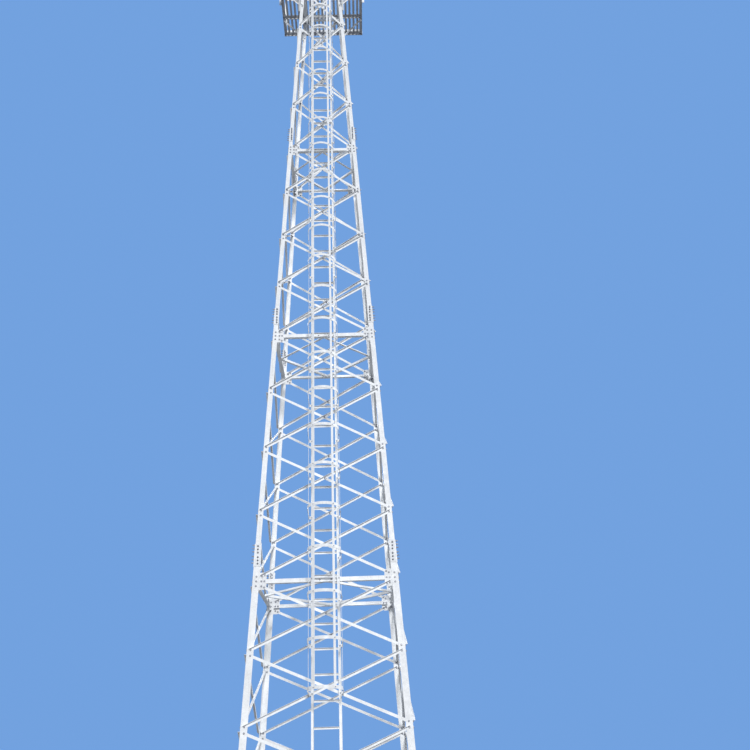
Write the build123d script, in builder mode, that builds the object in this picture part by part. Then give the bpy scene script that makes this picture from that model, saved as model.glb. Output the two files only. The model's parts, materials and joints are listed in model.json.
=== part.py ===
"""Angle steel lattice tower with an outside caged ladder and a railed platform.

The tower stands on the plane Z = 0 and its axis is Z. The ladder is on the
front, towards -Y. Sizes are millimetres.
"""
import os
from math import atan2, cos, degrees, radians, sin, sqrt

from build123d import *

# Tower frame: four legs lean inwards from the base to the platform
base_width = 2610.0
top_width = 850.0
frame_height = 17520.0
section_height = 4250.0
section_count = 3
panels_in_section = 4
foot_rise = 150.0
quarter_turn = 90.0
taper = (base_width - top_width) / 2 / frame_height
slope_length = sqrt(1 + taper**2)

# Leg angles, the smaller ones higher up, and the joints where their lengths meet
leg_sizes = (100.0, 80.0, 75.0, 70.0)
leg_wall = 8.0
bolt_share = 0.55
joint_above_level = 400.0
joint_gap = 3.0
splice_length = 350.0
splice_plate_wall = 8.0
splice_plate_margin = 5.0
splice_angle_margin = 6.0
splice_angle_wall = 8.0

# Diagonals, and the distance from a node to a bolt
brace_size = 40.0
brace_wall = 4.0
node_step = 40.0
level_step = 75.0
brace_overrun = 18.0
pad_size = 46.0
filler_length = 86.0

# Horizontals and the plates that hold them
horizontal_size = 63.0
horizontal_wall = 5.0
horizontal_gap = 12.0
gusset_wall = 6.0
gusset_height = 260.0
gusset_edge = 24.0
gusset_reach = 108.0
gusset_cut = 40.0
gusset_bolt = 37.0

# Plan bracing at each level
plan_size = 40.0
plan_wall = 4.0
plan_inset = 45.0

# Feet
plate_size = 300.0
plate_wall = 20.0
anchor_spacing = 220.0
anchor_hole = 27.0
rib_height = 110.0
rib_reach = 80.0
rib_wall = 8.0

# Ladder in front of the front side
ladder_standoff = 50.0
rail_centre = 195.0
rail_size = 40.0
rail_wall = 4.0
rung_pitch = 350.0
first_rung = 450.0
rung_size = 30.0
rung_wall = 3.0
rung_setback = 5.0
handhold_height = 1100.0
sole_wall = 6.0
sole_width = 80.0
sole_depth = 70.0
bracket_wall = 5.0
bracket_height = 50.0
bracket_foot = 45.0

# Safety cage round the ladder
hoop_pitch = 640.0
first_hoop = 2635.0
hoops_in_group = 4
hoop_radius = 245.0
hoop_depth = 750.0
hoop_wall = 4.0
hoop_height = 45.0
hoop_tab = 58.0
hoop_facets = 12
strap_width = 40.0
side_strap_lift = 300.0
strap_facet = 2

# Platform
deck_half = 920.0
deck_member = 63.0
deck_member_wall = 6.0
slat_width = 48.0
slat_pitch = 90.0
slat_wall = 5.0
slat_seat = 30.0
hatch_half = 330.0
knee_drop = 600.0
knee_side_step = 90.0
knee_inset = 30.0

# Guard rail
post_size = 50.0
post_wall = 5.0
rail_height = 1150.0
mid_rail_height = 600.0
guard_size = 40.0
guard_wall = 4.0
toe_height = 120.0
corner_clearance = 2.0

sides = ("front", "right", "back", "left")
corners = ("front_left", "front_right", "back_right", "back_left")
levels = [section_height * (count + 1) for count in range(section_count)]
all_levels = levels + [frame_height - horizontal_size]
joints = [level + joint_above_level for level in levels]
deck_top = frame_height + deck_member + slat_wall


def half_width(height):
    """Half the width of the tower, heel to heel, at a height."""
    return base_width / 2 - taper * height


def leg_flange(height):
    """Flange of the leg length that passes a height."""
    joints_below = sum(joint < height for joint in joints)
    return leg_sizes[joints_below]


def bolt_line(height):
    """Distance from the heel of a leg to its bolts at a height."""
    return bolt_share * leg_flange(height)


front_face = Plane(origin=(0, -base_width / 2, 0), x_dir=(1, 0, 0), z_dir=(0, -1, taper))
platform_face = Plane(origin=(0, -deck_half, 0), x_dir=(1, 0, 0), z_dir=(0, -1, 0))


def up_slope(height):
    """Distance up the leaning side that reaches a height."""
    return height * slope_length


def angle_bar(plane, start, end, size, wall, lift, facing, standing=1):
    """Angle bar from start to end, flat on the plane raised by lift.

    Both flanges grow outwards with facing 1 and inwards with -1. The standing
    flange is on the upper edge with standing 1, and the lower one with -1. On
    a bar that runs up the plane the upper edge is the left one.
    """
    foot = plane.from_local_coords((start[0], start[1], lift))
    head = plane.from_local_coords((end[0], end[1], lift))
    along = head - foot
    edge = standing * size / 2
    inner_edge = edge - standing * wall
    with BuildPart() as bar:
        with BuildSketch(Plane(origin=foot, x_dir=plane.z_dir.cross(along), z_dir=along)):
            with BuildLine():
                Polyline(
                    (-edge, 0),
                    (edge, 0),
                    (edge, facing * size),
                    (inner_edge, facing * size),
                    (inner_edge, facing * wall),
                    (-edge, facing * wall),
                    close=True,
                )
            make_face()
        extrude(amount=along.length)
    return bar.part


def stretched(start, end, extra):
    """The same line with both ends moved outwards by extra."""
    run = Vector(*end) - Vector(*start)
    step = run.normalized() * extra
    first = Vector(*start) - step
    last = Vector(*end) + step
    return (first.X, first.Y), (last.X, last.Y)


def pad(plane, centre, size, low, high):
    """Square plate on a plane between two lifts."""
    with BuildPart() as plate:
        with BuildSketch(plane.offset(low)):
            with Locations(centre):
                Rectangle(size, size)
        extrude(amount=high - low)
    return plate.part


def filler(start, end):
    """Plate between the gussets and an outer diagonal, at the start of its line."""
    along = (Vector(*end) - Vector(*start)).normalized()
    middle = Vector(*start) + along * filler_length / 2
    turn = degrees(atan2(along.Y, along.X))
    with BuildPart() as plate:
        with BuildSketch(front_face.offset(-leg_wall)):
            with Locations(Location((middle.X, middle.Y), turn)):
                Rectangle(filler_length, brace_size)
        extrude(amount=leg_wall)
    return plate.part


def panel_heights():
    """Lower and upper node of each crossed panel, with the bolt steps there."""
    starts = [foot_rise] + levels
    ends = levels + [frame_height - horizontal_size]
    panels = []
    for low, high in zip(starts, ends):
        rise = (high - low) / panels_in_section
        for count in range(panels_in_section):
            low_step = level_step if count == 0 and low > foot_rise else node_step
            high_step = level_step if count == panels_in_section - 1 else node_step
            panels.append((low + count * rise, low + (count + 1) * rise, low_step, high_step))
    return panels


def crossed_panel(low, high, low_step, high_step):
    """Two diagonals of the front side, one outside the legs and one inside.

    At a level they end on the gussets, beside the leg, and elsewhere on it.
    """
    bottom, top = low + low_step, high - high_step
    on_low_gusset, on_high_gusset = low_step == level_step, high_step == level_step
    bottom_line = leg_flange(bottom) + gusset_bolt if on_low_gusset else bolt_line(bottom)
    top_line = leg_flange(top) + gusset_bolt if on_high_gusset else bolt_line(top)
    bottom_x, top_x = half_width(bottom) - bottom_line, half_width(top) - top_line
    meets_gusset = on_low_gusset or on_high_gusset
    inner_lift = -leg_wall - gusset_wall if meets_gusset else -leg_wall
    rising = stretched((-bottom_x, up_slope(bottom)), (top_x, up_slope(top)), brace_overrun)
    falling = stretched((-top_x, up_slope(top)), (bottom_x, up_slope(bottom)), brace_overrun)
    crossing = up_slope(bottom + (top - bottom) * bottom_x / (bottom_x + top_x))
    pieces = [
        angle_bar(front_face, *rising, brace_size, brace_wall, 0, 1),
        angle_bar(front_face, *falling, brace_size, brace_wall, inner_lift, -1),
        pad(front_face, (0, crossing), pad_size, inner_lift, 0),
    ]
    if on_low_gusset:
        pieces.append(filler(rising[0], rising[1]))
    elif meets_gusset:
        pieces.append(pad(front_face, (bottom_x, up_slope(bottom)), pad_size, inner_lift, -leg_wall))
    if on_high_gusset:
        pieces.append(filler(rising[1], rising[0]))
    elif meets_gusset:
        pieces.append(pad(front_face, (-top_x, up_slope(top)), pad_size, inner_lift, -leg_wall))
    with BuildPart() as panel:
        add(pieces)
    return panel.part


def horizontal(level):
    """Horizontal of the front side on the inside of the corner plates."""
    reach = half_width(level) - leg_flange(level) - horizontal_gap
    lift = -leg_wall - gusset_wall
    ends = ((-reach, up_slope(level)), (reach, up_slope(level)))
    return angle_bar(front_face, *ends, horizontal_size, horizontal_wall, lift, -1, -1)


def gusset_outline(level, hand):
    """Corner plate of the front side at a level, hand -1 left or 1 right."""
    edge = half_width(level) - gusset_edge
    tip = half_width(level) - leg_flange(level) - gusset_reach
    middle = up_slope(level)
    low = middle - gusset_height / 2
    high = min(middle + gusset_height / 2, up_slope(frame_height))
    return [
        (hand * edge, low),
        (hand * edge, high),
        (hand * (tip + gusset_cut), high),
        (hand * tip, high - gusset_cut),
        (hand * tip, low + gusset_cut),
        (hand * (tip + gusset_cut), low),
    ]


def save(part, name):
    """Label one finished piece and write it to its own file."""
    part.label = name
    export_step(part, f"parts/{name}.step")


os.makedirs("parts", exist_ok=True)

# Legs: each corner is four lengths of angle, end to end with a small gap
leg_starts = [plate_wall] + [joint + joint_gap / 2 for joint in joints]
leg_ends = [joint - joint_gap / 2 for joint in joints] + [frame_height]
lean = Vector(taper, taper, 1)


def leaning_angle(low, high, size, wall, inset):
    """Angle of the front left corner between two heights, heel outwards."""
    heel = -half_width(low) + inset
    with BuildPart() as length:
        with BuildSketch(Plane(origin=(heel, heel, low))):
            with BuildLine():
                Polyline((0, 0), (size, 0), (size, wall), (wall, wall), (wall, size), (0, size), close=True)
            make_face()
        extrude(amount=(high - low) * lean.length, dir=lean)
    return length.part


leg_lengths = [
    leaning_angle(low, high, size, leg_wall, 0) for low, high, size in zip(leg_starts, leg_ends, leg_sizes)
]
for turn, corner in enumerate(corners):
    with BuildPart() as leg:
        with Locations(Rotation(0, 0, quarter_turn * turn)):
            add(leg_lengths)
    save(leg.part, f"leg_{corner}")

# Splice angles inside each leg at its joints, made to fit the upper length
splice_lengths = []
for joint, upper_size in zip(joints, leg_sizes[1:]):
    low, high = joint - splice_length / 2, joint + splice_length / 2
    splice_size = upper_size - leg_wall - splice_angle_margin
    splice_lengths.append(leaning_angle(low, high, splice_size, splice_angle_wall, leg_wall))
for turn, corner in enumerate(corners):
    with BuildPart() as splice_angles:
        with Locations(Rotation(0, 0, quarter_turn * turn)):
            add(splice_lengths)
    save(splice_angles.part, f"splice_angles_{corner}")


def splice_outline(joint, splice_line, hand):
    """Plate along the bolts of a joint on the front side, hand -1 left or 1 right."""
    low, high = joint - splice_length / 2, joint + splice_length / 2
    inner_margin = 2 * splice_line - splice_plate_margin
    return [
        (hand * (half_width(low) - splice_plate_margin), up_slope(low)),
        (hand * (half_width(high) - splice_plate_margin), up_slope(high)),
        (hand * (half_width(high) - inner_margin), up_slope(high)),
        (hand * (half_width(low) - inner_margin), up_slope(low)),
    ]


# Splice plates on the outside of each side, centred on the bolts of the joint
with BuildPart() as front_splices:
    for joint, lower_size, upper_size in zip(joints, leg_sizes, leg_sizes[1:]):
        joint_line = bolt_share * (lower_size + upper_size) / 2
        for hand in (-1, 1):
            with BuildSketch(front_face):
                with BuildLine():
                    Polyline(*splice_outline(joint, joint_line, hand), close=True)
                make_face()
            extrude(amount=splice_plate_wall)

# Gussets at each level of each side
with BuildPart() as front_gussets:
    for level in all_levels:
        for hand in (-1, 1):
            with BuildSketch(front_face.offset(-leg_wall - gusset_wall)):
                with BuildLine():
                    Polyline(*gusset_outline(level, hand), close=True)
                make_face()
            extrude(amount=gusset_wall)

# Crossed diagonals and horizontals of each side
front_bars = [crossed_panel(*panel) for panel in panel_heights()]
front_bars += [horizontal(level) for level in all_levels]

for turn, side in enumerate(sides):
    with BuildPart() as bracing:
        with Locations(Rotation(0, 0, quarter_turn * turn)):
            add(front_bars)
    save(bracing.part, f"bracing_{side}")

    with BuildPart() as splice_plates:
        with Locations(Rotation(0, 0, quarter_turn * turn)):
            add(front_splices.part)
    save(splice_plates.part, f"splice_plates_{side}")

    with BuildPart() as gussets:
        with Locations(Rotation(0, 0, quarter_turn * turn)):
            add(front_gussets.part)
    save(gussets.part, f"gussets_{side}")

# Plan bracing: a diamond of angles between the mid-points of the horizontals
seat_lift = -leg_wall - gusset_wall
for count, level in enumerate(levels):
    ledge = up_slope(level) - horizontal_size / 2 + horizontal_wall
    corner_lift = seat_lift - plan_inset + plan_size / 2 * sin(radians(quarter_turn / 2))
    seat = front_face.from_local_coords((0, ledge, corner_lift))
    tip = -front_face.from_local_coords((0, ledge, seat_lift - plan_inset)).Y
    floor = Plane.XY.offset(seat.Z)
    diamond_bars = [
        angle_bar(floor, start, end, plan_size, plan_wall, 0, 1)
        for start, end in (
            ((0, -tip), (tip, 0)),
            ((tip, 0), (0, tip)),
            ((0, tip), (-tip, 0)),
            ((-tip, 0), (0, -tip)),
        )
    ]
    with BuildPart() as plan_bracing:
        add(diamond_bars)
    save(plan_bracing.part, f"plan_bracing_{count + 1}")

# Feet: base plate with four anchor holes and two ribs beside the leg
foot_centre = -base_width / 2 + leg_sizes[0] / 2
with BuildPart() as first_foot:
    with BuildSketch():
        with Locations((foot_centre, foot_centre)):
            Rectangle(plate_size, plate_size)
            with GridLocations(anchor_spacing, anchor_spacing, 2, 2):
                Circle(anchor_hole / 2, mode=Mode.SUBTRACT)
    extrude(amount=plate_wall)
    rib_line = -half_width(plate_wall)
    rib_plane = Plane(
        origin=(foot_centre + rib_wall / 2, rib_line, plate_wall), x_dir=(0, -1, 0), z_dir=(-1, 0, 0)
    )
    with BuildSketch(rib_plane):
        with BuildLine():
            Polyline((0, 0), (rib_reach, 0), (-taper * rib_height, rib_height), close=True)
        make_face()
    extrude(amount=rib_wall)
    mirror(about=Plane(origin=(0, 0, 0), z_dir=(1, -1, 0)))

with BuildPart() as feet:
    for turn in range(len(corners)):
        with Locations(Rotation(0, 0, quarter_turn * turn)):
            add(first_foot.part)
save(feet.part, "feet")

# Ladder rails, from the ground past the deck as handholds
ladder_top = up_slope(deck_top + handhold_height)
sole_y = front_face.from_local_coords((0, 0, ladder_standoff + rail_size / 2)).Y
for hand, name in ((-1, "ladder_rail_left"), (1, "ladder_rail_right")):
    rail_line = ((hand * rail_centre, -rail_size), (hand * rail_centre, ladder_top))
    rail_bar = angle_bar(front_face, *rail_line, rail_size, rail_wall, ladder_standoff, 1, hand)
    with BuildPart() as ladder_rail:
        add(rail_bar)
        split(bisect_by=Plane.XY, keep=Keep.TOP)
        with BuildSketch():
            with Locations((hand * rail_centre, sole_y)):
                Rectangle(sole_width, sole_depth)
        extrude(amount=sole_wall)
    save(ladder_rail.part, name)

# Rungs between the rails: tread flange on top, hanging flange behind
rung_reach = rail_centre - rail_size / 2
rung_lift = ladder_standoff + rung_setback
rung_count = int((deck_top - first_rung) / rung_pitch) + 1
rung_lines = [first_rung + count * rung_pitch - rung_size / 2 for count in range(rung_count)]
rung_bars = [
    angle_bar(front_face, (-rung_reach, line), (rung_reach, line), rung_size, rung_wall, rung_lift, 1)
    for line in rung_lines
]
with BuildPart() as ladder_rungs:
    add(rung_bars)
save(ladder_rungs.part, "ladder_rungs")

# Brackets between the horizontals of the front and the ladder rails
bracket_back = -leg_wall - gusset_wall
with BuildPart() as ladder_brackets:
    for level in all_levels:
        bracket_plane = Plane(
            origin=front_face.from_local_coords((0, up_slope(level) - bracket_height / 2, 0)),
            x_dir=(1, 0, 0),
            z_dir=(0, -taper, -1),
        )
        with BuildSketch(bracket_plane):
            for hand in (-1, 1):
                web = hand * (rail_centre - bracket_wall / 2)
                toe = hand * (rail_centre + bracket_foot / 2)
                with BuildLine():
                    Polyline(
                        (web, bracket_back),
                        (toe, bracket_back),
                        (toe, bracket_back + bracket_wall),
                        (web + hand * bracket_wall, bracket_back + bracket_wall),
                        (web + hand * bracket_wall, ladder_standoff - bracket_wall),
                        (toe, ladder_standoff - bracket_wall),
                        (toe, ladder_standoff),
                        (web, ladder_standoff),
                        close=True,
                    )
                make_face()
        extrude(amount=-bracket_height)
save(ladder_brackets.part, "ladder_brackets")


def hoop_plane(distance):
    """Plane square to the ladder at a distance up the slope, Y outwards."""
    origin = front_face.from_local_coords((0, distance, 0))
    return Plane(origin=origin, x_dir=(1, 0, 0), z_dir=(0, -taper, -1))


# Cage hoops: tabs on the rails, straight sides and a half round front of flats
hoop_back = ladder_standoff + rail_wall
round_centre = hoop_depth - hoop_radius
hoop_inside = hoop_radius - hoop_wall
tab_end = hoop_inside - hoop_tab
hoop_count = int((frame_height - first_hoop) / hoop_pitch)
facet_turn = 2 * quarter_turn / hoop_facets


def half_round(radius):
    """Points of the hoop's front from its right side to its left one."""
    turns = [radians(count * facet_turn) for count in range(hoop_facets + 1)]
    return [(radius * cos(turn), round_centre + radius * sin(turn)) for turn in turns]


hoop_outline = [(tab_end, hoop_back), (hoop_radius, hoop_back)]
hoop_outline += half_round(hoop_radius)
hoop_outline += [(-hoop_radius, hoop_back), (-tab_end, hoop_back), (-tab_end, hoop_back + hoop_wall)]
hoop_outline += [(-hoop_inside, hoop_back + hoop_wall)]
hoop_outline += reversed(half_round(hoop_inside))
hoop_outline += [(hoop_inside, hoop_back + hoop_wall), (tab_end, hoop_back + hoop_wall)]
hoops = []
for count in range(hoop_count):
    with BuildPart() as hoop:
        with BuildSketch(hoop_plane(first_hoop + count * hoop_pitch)):
            with BuildLine():
                Polyline(*hoop_outline, close=True)
            make_face()
        extrude(amount=hoop_height / 2, both=True)
    hoops.append(hoop.part)
for group, first in enumerate(range(0, hoop_count, hoops_in_group)):
    with BuildPart() as cage_hoops:
        add(hoops[first : first + hoops_in_group])
    save(cage_hoops.part, f"cage_hoops_{group + 1}")

# Cage straps along the inside of the hoops
strap_run = (hoop_count - 1) * hoop_pitch + hoop_height
strap_base = hoop_plane(first_hoop - hoop_height / 2)
strap_seat = hoop_inside * cos(radians(facet_turn / 2)) - hoop_wall / 2
for hand, name in ((-1, "cage_strap_left"), (1, "cage_strap_right")):
    with BuildPart() as cage_strap:
        with BuildSketch(strap_base):
            with Locations((hand * (hoop_inside - hoop_wall / 2), side_strap_lift)):
                Rectangle(hoop_wall, strap_width)
        extrude(amount=-strap_run)
    save(cage_strap.part, name)
strap_angle = strap_facet * facet_turn + facet_turn / 2
with BuildPart() as cage_straps_front:
    with BuildSketch(strap_base):
        for hand in (-1, 1):
            turned = radians(hand * strap_angle)
            place = (strap_seat * sin(turned), round_centre + strap_seat * cos(turned))
            with Locations(Location(place, -hand * strap_angle)):
                Rectangle(strap_width, hoop_wall)
    extrude(amount=-strap_run)
save(cage_straps_front.part, "cage_straps_front")

# Deck frame: edge angles, two bearers over the legs and hatch trimmers
member_level = frame_height + deck_member / 2
bearer_half = top_width / 2


def deck_angle(turn, reach, out_by):
    """Deck frame angle along one side, standing flange on top and inwards."""
    face = Plane(origin=(0, -out_by, 0), x_dir=(1, 0, 0), z_dir=(0, -1, 0))
    bar = angle_bar(face, (-reach, member_level), (reach, member_level), deck_member, deck_member_wall, 0, -1)
    return bar.rotate(Axis.Z, quarter_turn * turn)


frame_bars = [deck_angle(turn, deck_half, deck_half) for turn in range(len(sides))]
frame_bars += [deck_angle(turn, deck_half - deck_member_wall, bearer_half) for turn in (0, 2)]
trimmer_run = (-deck_half + deck_member_wall, -bearer_half)
for hand in (-1, 1):
    trimmer_face = Plane(origin=(hand * hatch_half, 0, 0), x_dir=(0, hand, 0), z_dir=(hand, 0, 0))
    trimmer_line = [(end, member_level) for end in sorted(hand * end for end in trimmer_run)]
    frame_bars.append(angle_bar(trimmer_face, *trimmer_line, deck_member, deck_member_wall, 0, 1))
with BuildPart() as deck_frame:
    add(frame_bars)
save(deck_frame.part, "deck_frame")

# Deck slats run from front to back, and stop short at the hatch
slat_count = 2 * int((deck_half - slat_width / 2) / slat_pitch) + 1
hatch_front = -deck_half + deck_member
hatch_back = -bearer_half + slat_seat
with BuildPart() as deck_slats:
    with BuildSketch(Plane.XY.offset(frame_height + deck_member)):
        with GridLocations(slat_pitch, 0, slat_count, 1):
            Rectangle(slat_width, 2 * deck_half)
        with Locations((0, (hatch_front + hatch_back) / 2)):
            Rectangle(2 * hatch_half, hatch_back - hatch_front, mode=Mode.SUBTRACT)
    extrude(amount=slat_wall)
save(deck_slats.part, "deck_slats")

# Knees from the legs out to the edge of the deck
knee_head = deck_half - knee_inset
knee_rise = up_slope(frame_height) - brace_size
knee_places = {
    "platform_knees_left": ((0, -1), (3, -1), (3, 1), (2, 1)),
    "platform_knees_right": ((0, 1), (1, -1), (1, 1), (2, -1)),
}
for name, places in knee_places.items():
    knee_bars = []
    for turn, hand in places:
        knee_start = frame_height - knee_drop - knee_side_step * (turn % 2)
        knee_foot = half_width(knee_start) - bolt_line(knee_start)
        ends = sorted(((hand * knee_foot, up_slope(knee_start)), (hand * knee_head, knee_rise)))
        knee = angle_bar(front_face, *ends, brace_size, brace_wall, 0, 1)
        knee_bars.append(knee.rotate(Axis.Z, quarter_turn * turn))
    with BuildPart() as platform_knees:
        add(knee_bars)
    save(platform_knees.part, name)

# Guard rail: posts outside the deck frame, rails and toe board inside the posts
post_foot = frame_height
post_head = deck_top + rail_height
for turn, side in enumerate(sides):
    ends_side = turn % 2 == 0
    reach = deck_half if ends_side else deck_half - guard_size - corner_clearance
    top_line = post_head - guard_size / 2
    bars = [
        angle_bar(platform_face, (0, post_foot), (0, post_head), post_size, post_wall, 0, 1),
        angle_bar(platform_face, (-reach, top_line), (reach, top_line), guard_size, guard_wall, 0, -1),
    ]
    with BuildPart() as railing:
        add(bars)
        with BuildSketch(platform_face.offset(-guard_wall)):
            with Locations((0, deck_top + mid_rail_height)):
                Rectangle(2 * reach, guard_size)
            with Locations((0, deck_top + toe_height / 2)):
                Rectangle(2 * reach, toe_height)
        extrude(amount=guard_wall)
        if ends_side:
            with BuildSketch(Plane.XY.offset(post_foot)):
                for hand in (-1, 1):
                    heel = hand * (deck_half + post_wall)
                    with BuildLine():
                        Polyline(
                            (heel, -deck_half - post_wall),
                            (heel - hand * post_size, -deck_half - post_wall),
                            (heel - hand * post_size, -deck_half),
                            (hand * deck_half, -deck_half),
                            (hand * deck_half, -deck_half - post_wall + post_size),
                            (heel, -deck_half - post_wall + post_size),
                            close=True,
                        )
                    make_face()
            extrude(amount=post_head - post_foot)
    with BuildPart() as turned_railing:
        with Locations(Rotation(0, 0, quarter_turn * turn)):
            add(railing.part)
    save(turned_railing.part, f"railing_{side}")
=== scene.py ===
"""Looks of an angle steel lattice tower: fasteners, welds, finishes and stage.

The tower's axis is Z, its ladder is towards -Y, and every length is in metres.
"Up the slope" means along a leaning side of the tower, from the ground.
"""
import json
import math

import bpy
import numpy as np
from bpy.props import FloatProperty, FloatVectorProperty, PointerProperty
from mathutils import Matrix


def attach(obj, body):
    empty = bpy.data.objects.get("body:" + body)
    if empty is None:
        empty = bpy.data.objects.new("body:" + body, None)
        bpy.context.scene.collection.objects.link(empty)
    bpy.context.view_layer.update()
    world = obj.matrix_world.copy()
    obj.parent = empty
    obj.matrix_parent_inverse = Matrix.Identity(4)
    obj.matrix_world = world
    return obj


bl_info = {
    "name": "Angle steel tower",
    "version": (1, 0, 0),
    "blender": (4, 5, 0),
    "location": "View3D > Sidebar > Tower",
    "description": "Fasteners, welds, finishes and stage of a lattice tower",
    "category": "Object",
}

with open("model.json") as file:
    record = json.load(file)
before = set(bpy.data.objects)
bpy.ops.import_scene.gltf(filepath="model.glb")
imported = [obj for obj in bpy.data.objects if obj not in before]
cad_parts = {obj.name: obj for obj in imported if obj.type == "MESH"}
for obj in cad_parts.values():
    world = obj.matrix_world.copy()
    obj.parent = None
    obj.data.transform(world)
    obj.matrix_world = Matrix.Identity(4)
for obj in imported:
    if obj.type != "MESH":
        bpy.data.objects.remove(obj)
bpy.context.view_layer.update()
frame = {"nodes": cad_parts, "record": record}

# The four sides, as quarter turns from the front, and left and right on a side
QUARTER_TURNS = range(4)
FRONT = (0,)
HANDS = np.array((-1.0, 1.0))

# Sections below the top one, and the crossed panels in every section
LOWER_SECTIONS = 3
PANELS_IN_SECTION = 4

# Rows of a gusset's bolts on the leg, in pitches above its level
LOWER_ROWS = (-1, 0, 1)
TOP_ROWS = (-1.3, -0.4, 0.5)

# Bolts in a row on each side of a leg joint
JOINT_ROW = 3

# Flat facets in a hoop's half round front, and the one from its middle under a front strap
HOOP_FACETS = 12
STRAP_FACET = 3

# Turn from one fastener to the next, so that neighbours differ
GOLDEN_TURN = math.pi * (3 - math.sqrt(5))

# Chamfers of heads, nuts and threads, and the profile of a low head, as shares of the radius
CHAMFER_HEIGHT = 0.15
CHAMFER_RADIUS = 0.86
THREAD_CHAMFER = 0.2
LOW_HEAD = np.array(((1, 0), (0.97, 0.3), (0.75, 0.58), (0.35, 0.7)))

# A direction that no bead follows, from which a path's normals are worked out
OFF_AXIS = np.array((0.31, 0.52, 0.79))

# Where most values of a noise pattern lie
NOISE_RANGE = (0.3, 0.7)

# Name, degrees around from the front and above the horizon, strength, width in degrees
LAMPS = (
    ("key lamp", 8, 18, 2.5, 10),
    ("right lamp", 105, 25, 1.7, 30),
    ("back lamp", 195, 25, 2.2, 30),
    ("left lamp", 275, 30, 0.9, 30),
)
SKY_LIGHT = (0.82, 0.91, 1.0)
SKY_STRENGTH = 0.12
FLOOR_REACH = 400.0
FLOOR_BOUNCE = 0.25


def length(name, description, default):
    """A length that a user may change."""
    return FloatProperty(name=name, description=description, default=default, unit="LENGTH")


def share(name, description, default):
    """A share that a user may change."""
    return FloatProperty(name=name, description=description, default=default, min=0)


def colour(name, description, default):
    """A colour that a user may change."""
    return FloatVectorProperty(
        name=name, description=description, default=default, subtype="COLOR", size=3, min=0, max=1
    )


class TowerSizes(bpy.types.PropertyGroup):
    """Sizes of the lattice that the fasteners follow."""

    base_width: length("Base width", "Between the heels of the legs at the ground", 2.61)
    top_width: length("Top width", "Between the heels of the legs at the top", 0.85)
    frame_height: length("Frame height", "Top end of the legs", 17.52)
    section_height: length("Section height", "Between two levels with horizontals", 4.25)
    foot_rise: length("Foot rise", "First node of the diagonals", 0.15)
    leg_sizes: FloatVectorProperty(
        name="Leg sizes",
        description="Flanges of the leg lengths, from the ground up",
        default=(0.100, 0.080, 0.075, 0.070),
        size=4,
        unit="LENGTH",
    )
    leg_wall: length("Leg wall", "Thickness of a leg angle", 0.008)
    splice_plate_wall: length("Splice plate", "Thickness of a splice plate", 0.008)
    splice_angle_wall: length("Splice angle", "Thickness of the angle inside a joint", 0.008)
    gusset_wall: length("Gusset", "Thickness of a corner plate", 0.006)
    brace_wall: length("Brace wall", "Thickness of a diagonal", 0.004)
    horizontal_wall: length("Horizontal wall", "Thickness of a horizontal", 0.005)
    horizontal_size: length("Horizontal size", "Width of a horizontal's flange", 0.063)
    bolt_share: share("Bolt share", "Bolt line, as a share of the flange", 0.55)
    bolt_pitch: length("Bolt pitch", "Between two bolts in one bar's end", 0.045)
    node_step: length("Node step", "From a node to each of its two bolts", 0.04)
    level_step: length("Level step", "From a level to the end bolts of its diagonals", 0.075)
    gusset_bolt: length("Gusset bolt", "From a leg's edge to the end bolts on the gusset", 0.037)
    gusset_pitch: length("Gusset pitch", "Between the bolts of a gusset on the leg", 0.07)
    horizontal_bolt: length("Horizontal bolt", "From a leg's edge to a horizontal's first bolt", 0.032)
    plan_bolt: length("Plan bolt", "From a horizontal's middle to a plan brace's bolt", 0.088)
    joint_above: length("Joint above level", "Height of a leg joint above its level", 0.4)
    joint_bolt: length("Joint bolt", "From a leg joint to its nearest bolts", 0.035)
    joint_pitch: length("Joint pitch", "Between two bolts in a row at a leg joint", 0.05)
    stagger: length("Stagger", "How much higher the side faces' joint bolts are", 0.025)
    foot_centre: length("Foot centre", "From the axis to a base plate's middle", 1.255)
    foot_plate: length("Base plate", "Thickness of a base plate", 0.02)
    anchor_step: length("Anchor step", "From a base plate's middle to an anchor bolt", 0.11)


class LadderSizes(bpy.types.PropertyGroup):
    """Sizes of the ladder and its cage."""

    standoff: length("Standoff", "From the front side to the back of the rails", 0.05)
    rail_centre: length("Rail centre", "From the middle to a rail", 0.195)
    rail_size: length("Rail size", "Width of a rail's flange", 0.04)
    rail_wall: length("Rail wall", "Thickness of a rail", 0.004)
    bracket_wall: length("Bracket wall", "Thickness of a ladder bracket", 0.005)
    bracket_bolt: length("Bracket bolt", "From the middle to a bracket's bolts", 0.2025)
    first_rung: length("First rung", "Top of the lowest rung, up the slope", 0.45)
    rung_pitch: length("Rung pitch", "Between the tops of two rungs", 0.35)
    rung_size: length("Rung size", "Width of a rung's flange", 0.03)
    rung_lift: length("Rung lift", "From the front side to the back of a rung", 0.055)
    first_hoop: length("First hoop", "Middle of the lowest hoop, up the slope", 2.635)
    hoop_pitch: length("Hoop pitch", "Between two hoops", 0.64)
    hoop_radius: length("Hoop radius", "Outside radius of a hoop", 0.245)
    hoop_depth: length("Hoop depth", "From the front side to the front of a hoop", 0.75)
    hoop_wall: length("Hoop wall", "Thickness of hoops and straps", 0.004)
    hoop_bolt: length("Hoop bolt", "From the middle to the bolt of a hoop's tab", 0.199)
    strap_lift: length("Strap lift", "From the front side to the side straps", 0.3)


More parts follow.
